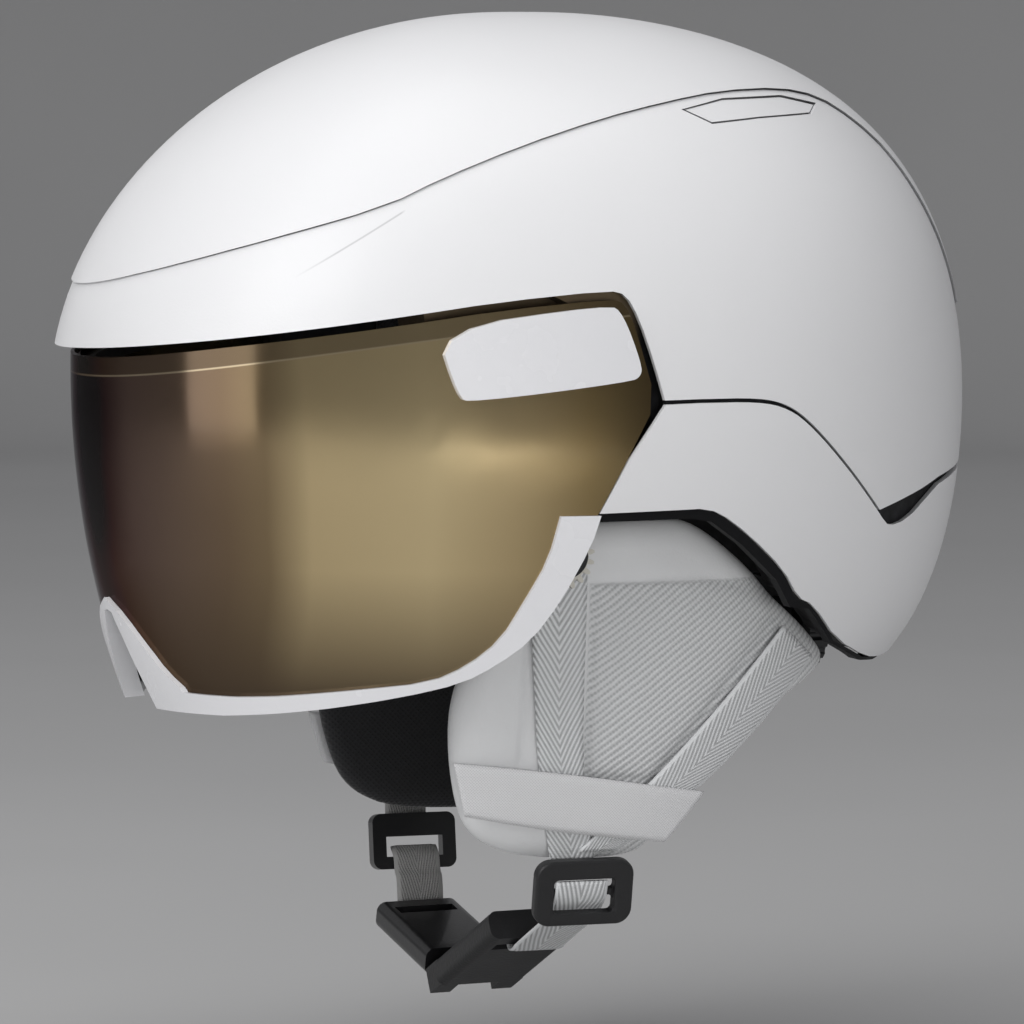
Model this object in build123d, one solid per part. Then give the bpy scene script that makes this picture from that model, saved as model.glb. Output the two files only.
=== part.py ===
from build123d import *
import math
import os

# Snow-sports helmet with a flip-up visor, in millimetres.
# +Z is up, the face looks along -Y, the wearer's left side is +X.
# The origin is the centre of the head form, at the widest level of the shell.

# ---------------------------------------------------------------- driving dimensions
HALF_WIDTH = 114.0          # outer form: half width, front, back, top and lower reach
FRONT = 146.2
BACK = 141.1
TOP = 120.0
LOW = 118.0
SQUARENESS = 2.15           # superellipse power of the form's level sections

SHELL_WALL = 2.2
CROWN_PROUD = 0.8
CROWN_WALL = 2.2
PANEL_GAP = 0.6
FOAM_INSET = 2.7            # foam liner starts this far under the outer form

HEAD_HALF_WIDTH = 82.0      # cavity of the foam liner
HEAD_FRONT = 104.0
HEAD_BACK = 102.0
HEAD_TOP = 92.0
HEAD_LOW = 250.0

LENS_FRONT = 139.8          # visor: level half axes at its fullest height
LENS_HALF_WIDTH = 112.6
LENS_PANE = 1.2
INNER_DROP = 1.3             # inner pane and gasket stop this far below the outer pane's top
LENS_WALL = 3.0
FRAME_PROUD = 1.8
FRAME_DEPTH = 4.6
TAB_WALL = 2.5

PIVOT_Y, PIVOT_Z = -44.0, -12.0     # lever axle on the shell
GEAR_MODULE = 1.0
SUN_TEETH, IDLER_TEETH, PLANET_TEETH = 15, 21, 19
LEVER_ANGLE = -130.0        # lever direction at rest, from straight ahead, upwards positive
LEVER_LENGTH = GEAR_MODULE * (SUN_TEETH + 2 * IDLER_TEETH + PLANET_TEETH) / 2
SUN_TO_IDLER = GEAR_MODULE * (SUN_TEETH + IDLER_TEETH) / 2
RECESS_X = 92.0             # floor of the mechanism recess
PLATE_X = (92.0, 95.0)      # layers of the mechanism, from the foam outwards
LEVER_X = (95.2, 97.2)
GEAR_X = (97.5, 99.8)
BRACKET_X = 100.2
AXLE_RADIUS = 3.0
PIN_RADIUS = 2.5
IDLER_PIN_RADIUS = 2.0
RUNNING_FIT = 0.06

PAD_HALF_WIDTH = 90.0       # ear pads: outer form and thickness
PAD_FRONT = 150.0
PAD_BACK = 108.0
PAD_LOW = 210.0
PAD_WALL = 15.0
WEBBING_WALL = 1.2

LOCK = (77.6, -5.0, -137.5)         # ladder lock on the left, hinge bar of the left strap
HOLDER = (-66.5, -15.0, -146.0)     # strap holder on the right, hinge bar of the right strap
BUCKLE_Y = -12.0
BUCKLE_YAW = 6.5             # the strap runs a little further back on the left
BUCKLE_SEAM_X, BUCKLE_SEAM_Z = -7.5, -180.0
LEFT_SLOPE, RIGHT_SLOPE = 26.0, 14.0    # how steeply each half rises from the seam

RACK_MODULE = 0.8           # head-ring adjuster
DIAL_TEETH = 10
DIAL_Z = -70.0
DIAL_RADIUS = 16.0
DIAL_Y = (91.0, 98.0)
HOUSING_Y = (82.0, 90.5)
BAND_RADIUS = 20.0
BAND_CENTRE = (17.0, 66.0)
BAND_WALL = 1.6

REACH = 170.0               # half size of the cutting prisms

# Side outlines, as (Y, Z) points
CROWN_LINE = [
    (-140.5, 37.4), (-128.5, 42.8), (-105, 51.2), (-69, 62.5), (-52.8, 70.4), (-28, 80),
    (-2, 88), (20, 93), (40, 96.4), (63.4, 97.4), (80, 95), (93, 88), (106, 77.5), (122, 55),
    (131, 36), (133, 30),
]
BRIM_LINE = [(-165, 14.4), (-146, 18.1), (-133, 20.3), (-119, 22.4), (-95, 26), (-69, 30), (-41, 34.4), (-8, 37.6)]
TEMPLE_LINE = [(-3, 36.2), (0.6, 29), (4.7, 15.7), (7.7, 5.2)]
PANEL_SEAM = [(18.8, 5.4), (38.4, 5.4), (48.5, 3.1), (57, -2.8), (70, -15.2), (84.4, -30.1)]
REAR_EDGE = [(103, -25), (112.7, -22), (REACH, -12)]
LOWER_FRONT = [(8, 3.9), (-3, -12), (-11.6, -28)]
EAR_EDGE = [
    (19.6, -27.2), (26, -28.3), (36.5, -35.5), (49.6, -46.7), (56, -55.6), (62, -58),
    (74, -70), (91, -77.3), (101, -78.7), (REACH, -79),
]
VISOR_TOP = [
    (-165, 10.5), (-146, 14.1), (-120, 19.5), (-95, 23.5), (-69, 27.5), (-41, 31.9), (-8, 35.1),
]
VISOR_REAR = [(-3.8, 33.6), (-0.6, 26), (5.4, 4.6), (-2.0, -9.5), (-12.0, -28.2)]
VISOR_LOW = [
    (-17, -31), (-20.5, -40), (-28, -53.5), (-35.5, -65), (-44.5, -72.8), (-54.5, -78),
    (-73, -81.5), (-98, -86), (-117, -88), (-165, -88),
]
FRAME_OUTER = [
    (-11.6, -28.5), (-14.3, -37.2), (-22.7, -53.4), (-31, -65.3), (-40.7, -72.7),
    (-50.3, -78.1), (-66.6, -82.4), (-92, -87.6), (-116, -91.3), (-165, -92.5),
]
FRAME_INNER = [
    (-165, -84.6), (-117, -84.6), (-104.3, -84.1), (-80, -80.6), (-58.7, -77.8),
    (-48.4, -72.6), (-39.7, -65.1), (-33.1, -53.2), (-26.8, -41.4), (-23.6, -28.5),
]
TAB_OUTLINE = [
    (-60, 26.6), (-9.5, 33.6), (-5.4, 31), (0.2, 15.7), (-0.2, 12.4), (-3.4, 10.9),
    (-50.5, 5.3), (-54, 6.6),
]
VENT_OUTLINE = [
    (24.7, 90.6), (33.5, 86.2), (51, 87.9), (72.5, 89.2), (77.6, 92.6), (63, 95), (40, 94),
]
PAD_OUTLINE = [
    (-18, -32.5), (-27, -48), (-40, -70), (-46, -84), (-46, -101), (-42, -120), (-36, -129),
    (-22, -135), (12, -136), (20, -130), (32, -117), (59, -91), (82, -79.5), (78, -76),
    (64, -67), (53, -60), (46.5, -52), (34, -42), (24, -35), (18, -32.5),
]
# Front outlines of the nose opening, as (X, Z) points of the left half
NOSE_LENS = [(0, -60.2), (6, -61.2), (22, -79), (28, -87), (28, -99)]
NOSE_FRAME_OUTER = [(0, -62), (5, -63), (19, -92), (19, -99)]
NOSE_FRAME_INNER = [(0, -58.3), (12, -62.9), (24.3, -72.6), (29.8, -78.3), (38.8, -84.6), (38.8, -99)]


# ---------------------------------------------------------------- the curved forms
def form_reach(direction, half_width, front, back, top, low):
    """Distance from the origin to the form's surface along a unit direction."""
    blend = (direction.Y + 1) / 2
    blend = blend * blend * (3 - 2 * blend)
    lift = 2.0 + 0.4 * blend
    depth = front if direction.Y < 0 else back
    height = top if direction.Z > 0 else low
    level = abs(direction.X / half_width) ** SQUARENESS + abs(direction.Y / depth) ** SQUARENESS
    return (level ** (lift / SQUARENESS) + abs(direction.Z / height) ** lift) ** (-1 / lift)


def form_point(angle, z, inset, sizes):
    """Point of the form at height z, at an angle from straight ahead towards +X."""
    near, far = 0.0, 220.0
    point = Vector(0, 0, z)
    for _ in range(34):
        reach = (near + far) / 2
        point = Vector(reach * math.sin(angle), -reach * math.cos(angle), z)
        if point.length < form_reach(point.normalized(), *sizes) - inset:
            near = reach
        else:
            far = reach
    return point


def ring_wire(points):
    return Wire([Edge.make_spline(points, periodic=True)])


def dome(inset, sizes, base, count=6, around=8):
    """Closed solid of the form from height base to its top, moved inwards by inset."""
    peak = sizes[3] - inset - 0.03
    start = math.sin(math.radians(-35))
    rings = []
    for i in range(count):
        share = (math.sin(math.radians(-35 + 125 * i / (count - 1))) - start) / (1 - start)
        z = base + (peak - base) * share
        turn = [2 * math.pi * j / around for j in range(around)]
        rings.append(ring_wire([form_point(a, z, inset, sizes) for a in turn]))
    return Solid.make_loft(rings)


def outer_dome(inset):
    return dome(inset, (HALF_WIDTH, FRONT, BACK, TOP, LOW), -100.0)


def head_dome(inset):
    return dome(inset, (HEAD_HALF_WIDTH, HEAD_FRONT, HEAD_BACK, HEAD_TOP, HEAD_LOW), -110.0)


def pad_dome(inset):
    return dome(inset, (PAD_HALF_WIDTH, PAD_FRONT, PAD_BACK, TOP, PAD_LOW), -160.0)


def lens_column(inset):
    """Closed solid of the visor's curved form, from below the chin line to the brim."""
    rings = []
    for z in (-100, -50, 0, 45):
        half_y = LENS_FRONT * math.sqrt(1 - ((z - 10) / 208) ** 2)
        half_x = LENS_HALF_WIDTH * math.sqrt(1 - ((z - 2) / 210) ** 2)
        points = []
        for j in range(8):
            s, c = math.sin(math.pi * j / 4), math.cos(math.pi * j / 4)
            level = (abs(s) / half_x) ** SQUARENESS + (abs(c) / half_y) ** SQUARENESS
            reach = level ** (-1 / SQUARENESS) - inset
            points.append(Vector(reach * s, -reach * c, z))
        rings.append(ring_wire(points))
    return Solid.make_loft(rings)


# ---------------------------------------------------------------- cutting helpers
def side_prism(points, x_low=-REACH, x_high=REACH):
    """Prism along X of a closed (Y, Z) outline."""
    outline = Polyline([Vector(x_low, y, z) for y, z in points], close=True)
    return extrude(Face(Wire(outline.edges())), x_high - x_low, dir=(1, 0, 0))


def front_prism(points, y_low=-REACH, y_high=0.0):
    """Prism along Y of a closed (X, Z) outline."""
    outline = Polyline([Vector(x, y_low, z) for x, z in points], close=True)
    return extrude(Face(Wire(outline.edges())), y_high - y_low, dir=(0, 1, 0))


def both_halves(points):
    """Open (X, Z) line of the left half, starting on X = 0, with its mirror image."""
    return [(-x, z) for x, z in reversed(points[1:])] + points


def side_rod(radius, y, z, x_low, x_high):
    """Cylinder along X."""
    return Pos(x_low, y, z) * Rot(0, 90, 0) * Cylinder(
        radius, x_high - x_low, align=(Align.CENTER, Align.CENTER, Align.MIN)
    )


def block(x_low, x_high, y_low, y_high, z_low, z_high):
    centre = ((x_low + x_high) / 2, (y_low + y_high) / 2, (z_low + z_high) / 2)
    return Pos(*centre) * Box(x_high - x_low, y_high - y_low, z_high - z_low)


def slot_outline(start, end, radius, x_low, x_high):
    """Flat bar along X with two round ends, at (Y, Z) centres start and end."""
    along = Vector(0, end[0] - start[0], end[1] - start[1])
    across = Vector(0, -along.Z, along.Y).normalized() * radius
    corners = [Vector(0, *start) + across, Vector(0, *end) + across]
    corners += [Vector(0, *end) - across, Vector(0, *start) - across]
    bar = side_prism([(p.Y, p.Z) for p in corners], x_low, x_high)
    return bar + side_rod(radius, *start, x_low, x_high) + side_rod(radius, *end, x_low, x_high)


def softened(points, times=1):
    """Open outline with its corners cut, so that it turns in smaller steps."""
    for _ in range(times):
        cut = [points[0]]
        for (a, b), (c, d) in zip(points, points[1:]):
            cut += [(0.75 * a + 0.25 * c, 0.75 * b + 0.25 * d), (0.25 * a + 0.75 * c, 0.25 * b + 0.75 * d)]
        points = cut + [points[-1]]
    return points


def softened_loop(points, times=1):
    for _ in range(times):
        points = softened(points + points[:1])[1:-1]
    return points


def moved(points, dy, dz):
    return [(y + dy, z + dz) for y, z in points]


def one_solid(shape):
    return max(shape.solids(), key=lambda s: s.volume)


# ---------------------------------------------------------------- gears and racks
def involute(angle):
    return math.tan(angle) - angle


def gear_outline(teeth, module, phase_deg, centre, backlash=0.16):
    """(across, up) outline of an involute gear with short teeth."""
    pitch = module * teeth / 2
    base = pitch * math.cos(math.radians(20))
    tip = pitch + 0.78 * module
    root = pitch - 1.12 * module
    half_tooth = math.pi / (2 * teeth) - backlash / (2 * pitch) + involute(math.radians(20))

    def half_angle(radius):
        return half_tooth - involute(math.acos(min(1.0, base / radius)))

    radii = [root, base, (base + tip) / 2, tip]
    points = []
    for tooth in range(teeth):
        middle = math.radians(phase_deg) + 2 * math.pi * tooth / teeth
        flank = [(r, middle - half_angle(max(r, base))) for r in radii]
        flank += [(r, middle + half_angle(max(r, base))) for r in reversed(radii)]
        points += [(centre[0] + r * math.cos(a), centre[1] + r * math.sin(a)) for r, a in flank]
    return points


def side_gear(teeth, phase_deg, forward, up, bore):
    """Gear that turns about X, centred at a (forward, up) place; forward is -Y."""
    outline = gear_outline(teeth, GEAR_MODULE, phase_deg, (forward, up))
    gear = side_prism([(-f, z) for f, z in outline], *GEAR_X)
    return gear - side_rod(bore, -forward, up, GEAR_X[0] - 1, GEAR_X[1] + 1)


def rack_teeth(first, last, pitch_z, side):
    """(X, Z) saw of a rack's toothed edge; side is +1 when the bar lies above the teeth."""
    step = math.pi * RACK_MODULE
    depth, reach = 0.92 * RACK_MODULE, 0.7 * RACK_MODULE
    lean = math.tan(math.radians(20))
    half_pitch = step / 4 - 0.1
    points = []
    for k in range(first, last + 1):
        for x_out, z_out in (
            (-half_pitch - depth * lean, depth),
            (-half_pitch + reach * lean, -reach),
            (half_pitch - reach * lean, -reach),
            (half_pitch + depth * lean, depth),
        ):
            points.append((k * step + x_out, pitch_z + side * z_out))
    return points


# ---------------------------------------------------------------- hard shells and liner
def shell_wall(region, outer_inset, wall):
    return one_solid((outer_dome(outer_inset) & region) - outer_dome(outer_inset + wall))


def crown_region(dy=0.0, dz=0.0):
    line = moved(softened(CROWN_LINE), dy, dz)
    corners = [(REACH, 28 + dz), (REACH, REACH), (-REACH, REACH), (-REACH, 26 + dz)]
    return side_prism(line + corners)


def crown_shell():
    return shell_wall(crown_region(), -CROWN_PROUD, CROWN_WALL)


def main_region():
    edge = softened(BRIM_LINE + TEMPLE_LINE) + softened(PANEL_SEAM, 2) + REAR_EDGE
    return side_prism(edge + [(REACH, REACH), (-REACH, REACH)]) - crown_region(-0.5, -PANEL_GAP)


def main_shell():
    return shell_wall(main_region() - side_prism(VENT_OUTLINE), 0.0, SHELL_WALL)


def crown_vent_inserts():
    """Vent panels, one each side, a little under the level of the main shell."""
    outline = [(26.1, 90.5), (33.8, 86.8), (51, 88.4), (72.2, 89.7), (76, 92), (62.6, 94.3), (40, 93.4)]
    wall = (outer_dome(0.5) & side_prism(outline)) - outer_dome(2.4)
    return Compound(wall.solids())


def lower_region():
    seam = moved(softened(PANEL_SEAM, 2), 0, -1.2)
    vent = softened([(85.5, -32.5), (89, -35.5), (97, -34), (108, -27), (115, -23.4), (REACH, -13.8)])
    edge = LOWER_FRONT[::-1] + seam + vent + softened(EAR_EDGE)[::-1]
    return side_prism(edge)


def lower_shell():
    return shell_wall(lower_region(), 0.0, SHELL_WALL)


def rear_vent_mesh():
    """Woven guard behind the rear vent, between the two shells."""
    outline = [
        (86, -36.5), (86, -28.5), (103, -22), (112.7, -19), (REACH, -9), (REACH, -17), (113, -27),
    ]
    return one_solid((outer_dome(3.0) & side_prism(outline)) - outer_dome(4.0))


def foam_region():
    edge = [
        (-REACH, 14.5), (-146, 19), (-120, 24.4), (-95, 28.4), (-69, 32), (-60, 32), (-57, 10),
        (-57, -20), (-50, -25.5), (-11.6, -25.5),
    ]
    edge += moved(EAR_EDGE, 0.5, 1.6) + [(REACH, REACH), (-REACH, REACH)]
    return side_prism(edge)


def mechanism_recess():
    """Space behind each side of the visor where the levers swing."""
    swing = side_rod(LEVER_LENGTH + 14, PIVOT_Y, PIVOT_Z, RECESS_X, REACH)
    swing += block(RECESS_X, REACH, -REACH, PIVOT_Y, PIVOT_Z - 20, 41)
    swing += block(104.5, REACH, PIVOT_Y, 9, PIVOT_Z - 20, 41)
    return swing + mirror(swing, Plane.YZ)


def screw_centres():
    return [(PIVOT_Y - 11, PIVOT_Z - 7), (PIVOT_Y + 11, PIVOT_Z - 7), (PIVOT_Y, PIVOT_Z + 13)]


def eps_core():
    """Foam liner, with the vent tunnels, the mechanism recesses and the screw holes."""
    core = (outer_dome(FOAM_INSET) & foam_region()) - head_dome(0.0) - mechanism_recess()
    core -= shell_wall(side_prism([(80, -40), (80, -20), (REACH, 0), (REACH, -40)]), 2.9, 1.3)
    tunnel = Pos(0, 50, 86) * Rot(0, 34, 0) * Box(9, 24, 100)
    core -= tunnel + mirror(tunnel, Plane.YZ)
    holes = [side_rod(1.45, y, z, RECESS_X - 8.2, RECESS_X + 1) for y, z in screw_centres()]
    for hole in holes:
        core -= hole + mirror(hole, Plane.YZ)
    return one_solid(core)


def ear_edge_trim():
    """Soft bead along the lower edge of the shell, front of the ear to the nape."""
    top = [(-10.4, -27.6)] + moved(EAR_EDGE[:-1], -0.2, -0.4)
    low = [(-10.4, -30.6)] + moved(EAR_EDGE[:5], -1.8, -3.0) + moved(EAR_EDGE[5:-1], -0.8, -1.4)
    strip = side_prism(top + [(REACH, -79.4), (REACH, -80.4)] + low[::-1])
    return one_solid((outer_dome(1.4) & strip) - outer_dome(6.5) - lower_region())


# ---------------------------------------------------------------- comfort parts
def liner_pad(region, thickness):
    return one_solid((head_dome(0.3) & region) - head_dome(0.3 + thickness))


def crown_pad():
    return liner_pad(block(-26, 26, -46, 48, 60, 110), 6.0)


def brow_pad():
    return liner_pad(block(-66, 66, -REACH, -50, 28, 50), 6.0)


def nape_pad():
    return liner_pad(block(-40, 40, 60, REACH, -48, -14), 5.0)


def side_pad():
    return liner_pad(block(20, REACH, -24, 44, -8, 34), 5.0)


# ---------------------------------------------------------------- head-ring adjuster
def turned_rod(radius, y_low, y_high):
    """Cylinder along Y on the dial's axis."""
    length = y_high - y_low
    return Pos(0, (y_low + y_high) / 2, DIAL_Z) * Rot(90, 0, 0) * Cylinder(radius, length)


def dial_housing():
    body = block(-18, 18, *HOUSING_Y, DIAL_Z - 12.5, DIAL_Z + 12.5)
    body -= block(-19, 19, 84.3, 87.9, DIAL_Z - 10.3, DIAL_Z + 10.3)
    return body - turned_rod(2.5 + RUNNING_FIT, 87, 92)


def dial_pinion():
    outline = gear_outline(DIAL_TEETH, RACK_MODULE, 0, (0, DIAL_Z), 0.12)
    return front_prism(outline, 84.6, 87.6) + turned_rod(2.5, 87.5, 97.0)


def fit_dial():
    """Knurled thumb wheel on the end of the pinion shaft."""
    wheel = turned_rod(DIAL_RADIUS, *DIAL_Y)
    for k in range(18):
        angle = 2 * math.pi * k / 18
        x, z = (DIAL_RADIUS + 0.9) * math.cos(angle), (DIAL_RADIUS + 0.9) * math.sin(angle)
        wheel -= Pos(x, 0, z) * turned_rod(1.8, DIAL_Y[0] - 1, DIAL_Y[1] + 1)
    return wheel - turned_rod(2.52, DIAL_Y[0] - 1, 97.05)


def band_curve(z_low, z_high):
    """Quarter turn of the band from the housing round to the side of the head."""
    ring = Cylinder(BAND_RADIUS + BAND_WALL / 2, z_high - z_low)
    ring -= Cylinder(BAND_RADIUS - BAND_WALL / 2, z_high - z_low)
    x, y = BAND_CENTRE
    ring = Pos(x, y, (z_low + z_high) / 2) * ring
    side = x + BAND_RADIUS
    tail = block(side - BAND_WALL / 2, side + BAND_WALL / 2, 36, y, z_low, z_high)
    return (ring & block(x, 80, y, 100, -120, 0)) + tail


def fit_band(side):
    """Head band with its rack; side +1 is the left band, whose rack lies on top."""
    pitch_z = DIAL_Z + side * RACK_MODULE * DIAL_TEETH / 2
    back_z = DIAL_Z + side * 9.6
    teeth = rack_teeth(-3, 5, pitch_z, side)
    front_z = pitch_z + side
    x = BAND_CENTRE[0]
    outline = teeth + [(15, front_z), (x, front_z), (x, back_z), (-9, back_z)]
    bar = front_prism(outline, 84.9, 87.3)
    z_low, z_high = sorted((front_z, back_z))
    return one_solid(bar + band_curve(z_low, z_high))


# ---------------------------------------------------------------- visor lift mechanism
def pivot_plate():
    """Plate screwed to the foam core, with the axle that carries a lever and the sun gear."""
    lobes = [side_rod(6.0, y, z, *PLATE_X) for y, z in screw_centres()]
    plate = side_rod(12.0, PIVOT_Y, PIVOT_Z, *PLATE_X) + lobes[0] + lobes[1] + lobes[2]
    for y, z in screw_centres():
        plate -= side_rod(1.5, y, z, PLATE_X[0] - 1, PLATE_X[1] + 1)
        plate -= side_rod(3.0, y, z, PLATE_X[1] - 1.3, PLATE_X[1] + 1)
    plate += side_rod(AXLE_RADIUS, PIVOT_Y, PIVOT_Z, PLATE_X[0], LEVER_X[1] + 0.2)
    square = block(LEVER_X[1], GEAR_X[1], PIVOT_Y - 1.9, PIVOT_Y + 1.9, PIVOT_Z - 1.9, PIVOT_Z + 1.9)
    return plate + square


def pivot_screws():
    screws = []
    for y, z in screw_centres():
        screw = side_rod(1.4, y, z, RECESS_X - 8, PLATE_X[1] - 1.2)
        screw += side_rod(2.8, y, z, PLATE_X[1] - 1.25, PLATE_X[1] - 0.1)
        screws += [one_solid(screw), one_solid(mirror(screw, Plane.YZ))]
    return Compound(screws)


def along_lever(distance):
    """(forward, up) place at a distance along the lever."""
    angle = math.radians(LEVER_ANGLE)
    return (-PIVOT_Y + distance * math.cos(angle), PIVOT_Z + distance * math.sin(angle))


def sun_gear():
    gear = side_gear(SUN_TEETH, LEVER_ANGLE, *along_lever(0), 0.5)
    return gear - block(90, 110, PIVOT_Y - 1.93, PIVOT_Y + 1.93, PIVOT_Z - 1.93, PIVOT_Z + 1.93)


def axle_cap():
    return side_rod(4.5, PIVOT_Y, PIVOT_Z, GEAR_X[1] + 0.02, GEAR_X[1] + 1.6)


def idler_gear():
    phase = LEVER_ANGLE + 180 + 180 / IDLER_TEETH
    return side_gear(IDLER_TEETH, phase, *along_lever(SUN_TO_IDLER), IDLER_PIN_RADIUS + RUNNING_FIT)


def planet_gear():
    phase = LEVER_ANGLE + 180 + 180 / PLANET_TEETH
    return side_gear(PLANET_TEETH, phase, *along_lever(LEVER_LENGTH), PIN_RADIUS + 0.02)


def lever():
    start = (PIVOT_Y, PIVOT_Z)
    forward, up = along_lever(LEVER_LENGTH)
    middle_forward, middle_up = along_lever(SUN_TO_IDLER)
    arm = slot_outline(start, (-forward, up), 8.0, *LEVER_X)
    arm -= side_rod(AXLE_RADIUS + RUNNING_FIT, *start, LEVER_X[0] - 1, LEVER_X[1] + 1)
    arm -= side_rod(PIN_RADIUS + RUNNING_FIT, -forward, up, LEVER_X[0] - 1, LEVER_X[1] + 1)
    return arm + side_rod(IDLER_PIN_RADIUS, -middle_forward, middle_up, LEVER_X[0], GEAR_X[1])


def visor_bracket():
    """Arm from the lever's outer pivot to the back of the visor frame."""
    forward, up = along_lever(LEVER_LENGTH)
    hub = side_rod(6.5, -forward, up, BRACKET_X, 112)
    outline = [(-22, -35), (-34, -38), (-48, -56), (-44, -67), (-36, -63), (-24, -47.5), (-16, -46)]
    arm = (hub + side_prism(outline, BRACKET_X, 112)) & lens_column(FRAME_DEPTH + 0.15)
    return one_solid(arm) + side_rod(PIN_RADIUS, -forward, up, LEVER_X[0] + 0.1, BRACKET_X + 0.5)


# ---------------------------------------------------------------- visor
def front_limits(nose, z_high):
    """Front view of the visor above a nose line and below a height."""
    outline = [(-REACH, -99), *nose, (REACH, -99), (REACH, z_high), (-REACH, z_high)]
    return front_prism(outline, -REACH, 30)


def visor_region(extra=0.0):
    """Side and front limits of the lens."""
    side = softened(VISOR_TOP + VISOR_REAR) + softened(moved(VISOR_LOW, 0, -extra))
    nose = both_halves([(x, z - extra) for x, z in softened(NOSE_LENS)])
    return side_prism(side) & front_limits(nose, 60)


def lens_pane(outer_inset, wall, top_drop=0.0):
    pane = (lens_column(outer_inset) & visor_region()) - lens_column(outer_inset + wall)
    limit = moved(softened(VISOR_TOP), 0, -top_drop) + [(30, 33), (30, -120), (-REACH, -120)]
    if top_drop > 0:
        pane = pane & side_prism(limit)
    return one_solid(pane & block(-REACH, REACH, -REACH, 12, -120, 60))


def lens_gasket():
    """Sealing strip between the two panes, round the whole edge."""
    strip = lens_pane(LENS_PANE + 0.01, LENS_WALL - 2 * LENS_PANE - 0.02, INNER_DROP)
    side = [
        (-REACH, 5), (-140, 9), (-120, 13.5), (-95, 17.5), (-69, 21.5), (-41, 26), (-9, 29.2),
        (-5.5, 22), (-0.8, 4.6), (-8, -9.5), (-18, -28), (-27, -41), (-34, -53), (-41, -62),
        (-50, -68), (-60, -72.5), (-80, -75), (-104, -78), (-REACH, -79),
    ]
    nose = both_halves([(0, -53.5), (9, -55), (32, -72), (40, -79), (40, -99)])
    return one_solid(strip - (side_prism(side) & front_limits(nose, 60)))


def frame_region():
    side = softened(FRAME_OUTER) + [(-REACH, 0), (REACH, 0), (REACH, -28.5)]
    nose = both_halves(softened(NOSE_FRAME_OUTER))
    return side_prism(side) & front_limits(nose, -28.5)


def frame_window():
    side = softened(FRAME_INNER) + [(-23.6, 0), (-REACH, 0)]
    nose = both_halves(softened(NOSE_FRAME_INNER))
    return side_prism(side) & front_limits(nose, 0)


def visor_frame_lower():
    """Rim along the lower edge of the visor, with a rebate that the lens sits in."""
    band = (lens_column(-FRAME_PROUD) & frame_region()) - lens_column(FRAME_DEPTH)
    band = band & block(-REACH, REACH, -REACH, 0, -120, 0)
    rebate = lens_column(-0.05) & visor_region(0.2)
    return one_solid(band - frame_window() - rebate)


def grip_tab():
    outline = softened_loop(TAB_OUTLINE, 2)
    tab = (lens_column(-TAB_WALL) & side_prism(outline, 0, REACH)) - lens_column(-0.02)
    return one_solid(tab)


def visor_top_seal():
    """Soft lip along the inner top edge of the visor."""
    top = moved(VISOR_TOP, 0, -3.6)
    low = moved(VISOR_TOP, 0, -8.0)
    strip = side_prism(top + low[::-1]) & block(-REACH, REACH, -REACH, -62, 0, 40)
    return one_solid((lens_column(LENS_WALL + 0.05) & strip) - lens_column(LENS_WALL + 4.5))


def face_foam():
    """Foam edge behind the lower frame, against the cheeks and the nose."""
    outer = moved(FRAME_OUTER, 0, 0.6)
    side = side_prism([(-48, -74.5)] + outer[5:] + [(-REACH, -80.5)] + [(-104, -80), (-60, -73)])
    nose = both_halves([(0, -99), (22.5, -99.2)])
    front = block(22.5, REACH, -REACH, 0, -99, -60)
    strip = side & (front + mirror(front, Plane.YZ))
    foam = (lens_column(FRAME_DEPTH + 0.1) & strip) - lens_column(FRAME_DEPTH + 9.0)
    return Compound(foam.solids())


# ---------------------------------------------------------------- ear pads and webbing
def pad_layer(inner, outer, outline):
    """Left-hand piece of the pad form between two heights above the pad's face."""
    region = side_prism(outline, 20, REACH)
    return one_solid((pad_dome(-outer) & region) - pad_dome(-inner))


def ear_pad():
    return pad_layer(-PAD_WALL, 0.0, PAD_OUTLINE)


def front_branch(fitting):
    """Front webbing over the pad, down to the fitting at the end of the webbing."""
    y = fitting[1]
    outline = [(-26, -46), (-8, -46), (-7.5, -106), (y + 6, -140), (y - 8, -140), (-21, -106)]
    return pad_layer(0.2, 0.2 + WEBBING_WALL, outline)


def front_branch_left():
    """Left front webbing, relieved at its end so that the ladder lock can swing out."""
    strap = front_branch(LOCK)
    lock = ladder_lock()
    for step in range(5, 13):
        strap = strap - lock.rotate(Axis(LOCK, (0, -1, 0)), 3.75 * step)
    return one_solid(strap)


def rear_branch(fitting):
    y = fitting[1]
    outline = [(59, -66), (72, -76.5), (36.5, -111), (y + 11, -132.5), (y - 1, -132.5), (17, -110)]
    return pad_layer(1.7, 1.7 + WEBBING_WALL, outline)


def loop_band():
    outline = [(-46.5, -104), (-12, -108), (33, -115.5), (21, -130.5), (-14, -126), (-42, -120.5)]
    return pad_layer(3.2, 3.2 + WEBBING_WALL, outline)


# ---------------------------------------------------------------- chin strap
def strip_along(points, y_low, y_high, wall):
    """Flat strip of webbing with a centre line of (X, Z) points, between two Y planes."""
    line = Wire(Polyline([Vector(x, y_low, z) for x, z in points]).edges())
    face = Face(line.offset_2d(wall / 2, kind=Kind.INTERSECTION, side=Side.BOTH))
    return extrude(face, y_high - y_low, dir=(0, 1, 0))


def lock_place():
    return Pos(*LOCK) * Rot(0, 12, 0)


def holder_place():
    return Pos(*HOLDER) * Rot(0, -8, 0)


def ladder_lock():
    """Frame with a sunk middle bar, at the end of the pad's webbing, that the left strap hangs from."""
    body = block(-2.2, 2.2, -15.5, 15.5, -17.5, 3.0)
    body = body.fillet(5.0, body.edges().filter_by(Axis.X))
    body -= block(-5, 5, -9.6, 9.6, -13.6, -2.8)
    body += block(-2.2, 0, -10, 10, -8.6, -6.6)
    return lock_place() * body


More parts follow.
